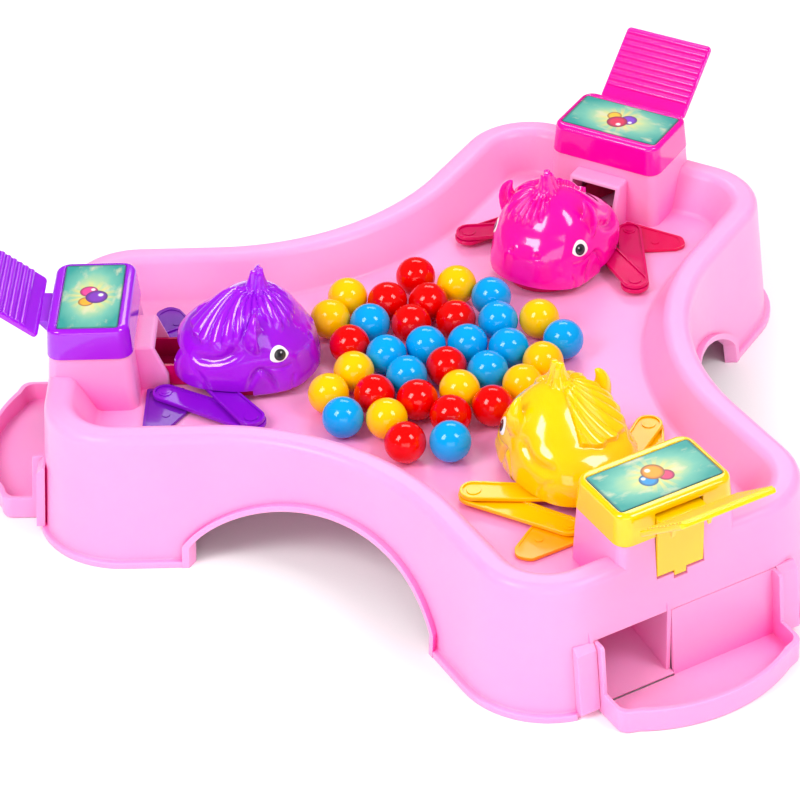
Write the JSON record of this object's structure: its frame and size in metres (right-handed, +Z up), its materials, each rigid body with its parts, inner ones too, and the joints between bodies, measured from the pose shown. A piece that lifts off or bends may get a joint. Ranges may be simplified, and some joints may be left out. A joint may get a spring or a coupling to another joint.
{
  "type": "ball chomping game",
  "caption": "Three-lobed tray game in which pedal levers make creature heads on folding legs lunge, gulp balls and drop them into catch trays.",
  "frame": {"origin": "middle of the tray floor's top face, on the axis that the three lobes share", "axes": "+Z up from the tray floor; -X out along the purple lobe; magenta lobe at 60 degrees and yellow lobe at -60 degrees from +X"},
  "size_m": [0.4002, 0.4298, 0.1166],
  "materials": {
    "pink_plastic": "gloss",
    "purple_plastic": "gloss",
    "magenta_plastic": "gloss",
    "yellow_plastic": "gloss",
    "crimson_plastic": "gloss",
    "steel": "plain",
    "printed_plate": "printed",
    "red_ball": "gloss",
    "yellow_ball": "gloss",
    "blue_ball": "gloss"
  },
  "bodies": {
    "tray": {"base_tray": "pink_plastic", "purple_tower_cap": "purple_plastic", "purple_picture_plate": "printed_plate", "purple_lever_pin": "steel", "purple_return_spring": "steel", "purple_left_foot": "purple_plastic", "purple_right_foot": "purple_plastic", "magenta_tower_cap": "magenta_plastic", "magenta_picture_plate": "printed_plate", "magenta_lever_pin": "steel", "magenta_return_spring": "steel", "magenta_left_foot": "magenta_plastic", "magenta_right_foot": "magenta_plastic", "yellow_tower_cap": "yellow_plastic", "yellow_picture_plate": "printed_plate", "yellow_lever_pin": "steel", "yellow_return_spring": "steel", "yellow_left_foot": "yellow_plastic", "yellow_right_foot": "yellow_plastic"},
    "purple_lever": {"purple_pedal_lever": "purple_plastic"},
    "purple_carriage": {"purple_jaw_carriage": "crimson_plastic"},
    "purple_head": {"purple_head_shell": "purple_plastic"},
    "purple_left_shin_link": {"purple_left_shin": "purple_plastic"},
    "purple_left_thigh_link": {"purple_left_thigh": "purple_plastic"},
    "purple_right_shin_link": {"purple_right_shin": "purple_plastic"},
    "purple_right_thigh_link": {"purple_right_thigh": "purple_plastic"},
    "purple_catch": {"purple_catch_tray": "pink_plastic"},
    "magenta_lever": {"magenta_pedal_lever": "magenta_plastic"},
    "magenta_carriage": {"magenta_jaw_carriage": "crimson_plastic"},
    "magenta_head": {"magenta_head_shell": "magenta_plastic"},
    "magenta_left_shin_link": {"magenta_left_shin": "magenta_plastic"},
    "magenta_left_thigh_link": {"magenta_left_thigh": "magenta_plastic"},
    "magenta_right_shin_link": {"magenta_right_shin": "magenta_plastic"},
    "magenta_right_thigh_link": {"magenta_right_thigh": "magenta_plastic"},
    "magenta_catch": {"magenta_catch_tray": "pink_plastic"},
    "yellow_lever": {"yellow_pedal_lever": "yellow_plastic"},
    "yellow_carriage": {"yellow_jaw_carriage": "crimson_plastic"},
    "yellow_head": {"yellow_head_shell": "yellow_plastic"},
    "yellow_left_shin_link": {"yellow_left_shin": "yellow_plastic"},
    "yellow_left_thigh_link": {"yellow_left_thigh": "yellow_plastic"},
    "yellow_right_shin_link": {"yellow_right_shin": "yellow_plastic"},
    "yellow_right_thigh_link": {"yellow_right_thigh": "yellow_plastic"},
    "yellow_catch": {"yellow_catch_tray": "pink_plastic"},
    "ball_01": {"play_ball_01_red": "red_ball"},
    "ball_02": {"play_ball_02_blue": "blue_ball"},
    "ball_03": {"play_ball_03_yellow": "yellow_ball"},
    "ball_04": {"play_ball_04_yellow": "yellow_ball"},
    "ball_05": {"play_ball_05_blue": "blue_ball"},
    "ball_06": {"play_ball_06_red": "red_ball"},
    "ball_07": {"play_ball_07_yellow": "yellow_ball"},
    "ball_08": {"play_ball_08_yellow": "yellow_ball"},
    "ball_09": {"play_ball_09_blue": "blue_ball"},
    "ball_10": {"play_ball_10_red": "red_ball"},
    "ball_11": {"play_ball_11_blue": "blue_ball"},
    "ball_12": {"play_ball_12_red": "red_ball"},
    "ball_13": {"play_ball_13_blue": "blue_ball"},
    "ball_14": {"play_ball_14_red": "red_ball"},
    "ball_15": {"play_ball_15_blue": "blue_ball"},
    "ball_16": {"play_ball_16_yellow": "yellow_ball"},
    "ball_17": {"play_ball_17_red": "red_ball"}
  },
  "joints": [
    {"name": "lever_purple", "type": "hinge", "parent": "tray", "child": "purple_lever", "pos_m": [-0.186, 0, 0.038], "axis": [0, -1, 0], "range_deg": [0, 21], "stiffness_Nm_per_rad": 0.1, "springref_deg": -17.19},
    {"name": "carriage_purple", "type": "slide", "parent": "tray", "child": "purple_carriage", "axis": [1, 0, 0], "range_m": [0, 0.0111], "deforming": ["purple_return_spring"]},
    {"name": "head_purple", "type": "hinge", "parent": "purple_carriage", "child": "purple_head", "pos_m": [-0.128, 0, 0.0125], "axis": [0, -1, 0], "range_deg": [0, 32.1]},
    {"name": "ankle_purple_left", "type": "hinge", "parent": "tray", "child": "purple_left_shin_link", "pos_m": [-0.141, -0.023, 0.0035], "axis": [0, 0, 1], "range_deg": [-8.27, 0]},
    {"name": "knee_purple_left", "type": "hinge", "parent": "purple_left_shin_link", "child": "purple_left_thigh_link", "pos_m": [-0.098, -0.048, 0.006], "axis": [0, 0, 1], "range_deg": [-18.43, 0]},
    {"name": "ankle_purple_right", "type": "hinge", "parent": "tray", "child": "purple_right_shin_link", "pos_m": [-0.141, 0.023, 0.0035], "axis": [0, 0, 1], "range_deg": [0, 8.27]},
    {"name": "knee_purple_right", "type": "hinge", "parent": "purple_right_shin_link", "child": "purple_right_thigh_link", "pos_m": [-0.098, 0.048, 0.006], "axis": [0, 0, 1], "range_deg": [0, 18.43]},
    {"name": "catch_tray_purple", "type": "slide", "parent": "tray", "child": "purple_catch", "axis": [-1, 0, 0], "range_m": [0, 0.045]},
    {"name": "lever_magenta", "type": "hinge", "parent": "tray", "child": "magenta_lever", "pos_m": [0.093, 0.16108, 0.038], "axis": [-0.866, 0.5, 0], "range_deg": [0, 21], "stiffness_Nm_per_rad": 0.1, "springref_deg": -17.19},
    {"name": "carriage_magenta", "type": "slide", "parent": "tray", "child": "magenta_carriage", "axis": [-0.5, -0.866, 0], "range_m": [0, 0.0111], "deforming": ["magenta_return_spring"]},
    {"name": "head_magenta", "type": "hinge", "parent": "magenta_carriage", "child": "magenta_head", "pos_m": [0.064, 0.11085, 0.0125], "axis": [-0.866, 0.5, 0], "range_deg": [0, 32.1]},
    {"name": "ankle_magenta_left", "type": "hinge", "parent": "tray", "child": "magenta_left_shin_link", "pos_m": [0.05058, 0.13361, 0.0035], "axis": [0, 0, 1], "range_deg": [-8.27, 0]},
    {"name": "knee_magenta_left", "type": "hinge", "parent": "magenta_left_shin_link", "child": "magenta_left_thigh_link", "pos_m": [0.00743, 0.10887, 0.006], "axis": [0, 0, 1], "range_deg": [-18.43, 0]},
    {"name": "ankle_magenta_right", "type": "hinge", "parent": "tray", "child": "magenta_right_shin_link", "pos_m": [0.09042, 0.11061, 0.0035], "axis": [0, 0, 1], "range_deg": [0, 8.27]},
    {"name": "knee_magenta_right", "type": "hinge", "parent": "magenta_right_shin_link", "child": "magenta_right_thigh_link", "pos_m": [0.09057, 0.06087, 0.006], "axis": [0, 0, 1], "range_deg": [0, 18.43]},
    {"name": "catch_tray_magenta", "type": "slide", "parent": "tray", "child": "magenta_catch", "axis": [0.5, 0.866, 0], "range_m": [0, 0.045]},
    {"name": "lever_yellow", "type": "hinge", "parent": "tray", "child": "yellow_lever", "pos_m": [0.093, -0.16108, 0.038], "axis": [0.866, 0.5, 0], "range_deg": [0, 21], "stiffness_Nm_per_rad": 0.1, "springref_deg": -17.19},
    {"name": "carriage_yellow", "type": "slide", "parent": "tray", "child": "yellow_carriage", "axis": [-0.5, 0.866, 0], "range_m": [0, 0.0111], "deforming": ["yellow_return_spring"]},
    {"name": "head_yellow", "type": "hinge", "parent": "yellow_carriage", "child": "yellow_head", "pos_m": [0.064, -0.11085, 0.0125], "axis": [0.866, 0.5, 0], "range_deg": [0, 32.1]},
    {"name": "ankle_yellow_left", "type": "hinge", "parent": "tray", "child": "yellow_left_shin_link", "pos_m": [0.09042, -0.11061, 0.0035], "axis": [0, 0, 1], "range_deg": [-8.27, 0]},
    {"name": "knee_yellow_left", "type": "hinge", "parent": "yellow_left_shin_link", "child": "yellow_left_thigh_link", "pos_m": [0.09057, -0.06087, 0.006], "axis": [0, 0, 1], "range_deg": [-18.43, 0]},
    {"name": "ankle_yellow_right", "type": "hinge", "parent": "tray", "child": "yellow_right_shin_link", "pos_m": [0.05058, -0.13361, 0.0035], "axis": [0, 0, 1], "range_deg": [0, 8.27]},
    {"name": "knee_yellow_right", "type": "hinge", "parent": "yellow_right_shin_link", "child": "yellow_right_thigh_link", "pos_m": [0.00743, -0.10887, 0.006], "axis": [0, 0, 1], "range_deg": [0, 18.43]},
    {"name": "catch_tray_yellow", "type": "slide", "parent": "tray", "child": "yellow_catch", "axis": [0.5, -0.866, 0], "range_m": [0, 0.045]},
    {"name": "play_ball_01", "type": "slide", "parent": "tray", "child": "ball_01", "axis": [0, 0, 1], "range_m": [0, 0.035]},
    {"name": "play_ball_02", "type": "slide", "parent": "tray", "child": "ball_02", "axis": [0, 0, 1], "range_m": [0, 0.035]},
    {"name": "play_ball_03", "type": "slide", "parent": "tray", "child": "ball_03", "axis": [0, 0, 1], "range_m": [0, 0.035]},
    {"name": "play_ball_04", "type": "slide", "parent": "tray", "child": "ball_04", "axis": [0, 0, 1], "range_m": [0, 0.035]},
    {"name": "play_ball_05", "type": "slide", "parent": "tray", "child": "ball_05", "axis": [0, 0, 1], "range_m": [0, 0.035]},
    {"name": "play_ball_06", "type": "slide", "parent": "tray", "child": "ball_06", "axis": [0, 0, 1], "range_m": [0, 0.035]},
    {"name": "play_ball_07", "type": "slide", "parent": "tray", "child": "ball_07", "axis": [0, 0, 1], "range_m": [0, 0.035]},
    {"name": "play_ball_08", "type": "slide", "parent": "tray", "child": "ball_08", "axis": [0, 0, 1], "range_m": [0, 0.035]},
    {"name": "play_ball_09", "type": "slide", "parent": "tray", "child": "ball_09", "axis": [0, 0, 1], "range_m": [0, 0.035]},
    {"name": "play_ball_10", "type": "slide", "parent": "tray", "child": "ball_10", "axis": [0, 0, 1], "range_m": [0, 0.035]},
    {"name": "play_ball_11", "type": "slide", "parent": "tray", "child": "ball_11", "axis": [0, 0, 1], "range_m": [0, 0.035]},
    {"name": "play_ball_12", "type": "slide", "parent": "tray", "child": "ball_12", "axis": [0, 0, 1], "range_m": [0, 0.035]},
    {"name": "play_ball_13", "type": "slide", "parent": "tray", "child": "ball_13", "axis": [0, 0, 1], "range_m": [0, 0.035]},
    {"name": "play_ball_14", "type": "slide", "parent": "tray", "child": "ball_14", "axis": [0, 0, 1], "range_m": [0, 0.035]},
    {"name": "play_ball_15", "type": "slide", "parent": "tray", "child": "ball_15", "axis": [0, 0, 1], "range_m": [0, 0.035]},
    {"name": "play_ball_16", "type": "slide", "parent": "tray", "child": "ball_16", "axis": [0, 0, 1], "range_m": [0, 0.035]},
    {"name": "play_ball_17", "type": "slide", "parent": "tray", "child": "ball_17", "axis": [0, 0, 1], "range_m": [0, 0.035]}
  ],
  "couplings": [
    {"joint": "carriage_purple", "follows": "lever_purple", "m_per_rad": 0.030012},
    {"joint": "head_purple", "follows": "lever_purple", "ratio": 1.5238},
    {"joint": "ankle_purple_left", "follows": "lever_purple", "ratio": -0.39004},
    {"joint": "knee_purple_left", "follows": "lever_purple", "ratio": -0.86869},
    {"joint": "ankle_purple_right", "follows": "lever_purple", "ratio": 0.39004},
    {"joint": "knee_purple_right", "follows": "lever_purple", "ratio": 0.86869},
    {"joint": "carriage_magenta", "follows": "lever_magenta", "m_per_rad": 0.030012},
    {"joint": "head_magenta", "follows": "lever_magenta", "ratio": 1.5238},
    {"joint": "ankle_magenta_left", "follows": "lever_magenta", "ratio": -0.39004},
    {"joint": "knee_magenta_left", "follows": "lever_magenta", "ratio": -0.86869},
    {"joint": "ankle_magenta_right", "follows": "lever_magenta", "ratio": 0.39004},
    {"joint": "knee_magenta_right", "follows": "lever_magenta", "ratio": 0.86869},
    {"joint": "carriage_yellow", "follows": "lever_yellow", "m_per_rad": 0.030012},
    {"joint": "head_yellow", "follows": "lever_yellow", "ratio": 1.5238},
    {"joint": "ankle_yellow_left", "follows": "lever_yellow", "ratio": -0.39004},
    {"joint": "knee_yellow_left", "follows": "lever_yellow", "ratio": -0.86869},
    {"joint": "ankle_yellow_right", "follows": "lever_yellow", "ratio": 0.39004},
    {"joint": "knee_yellow_right", "follows": "lever_yellow", "ratio": 0.86869}
  ]
}
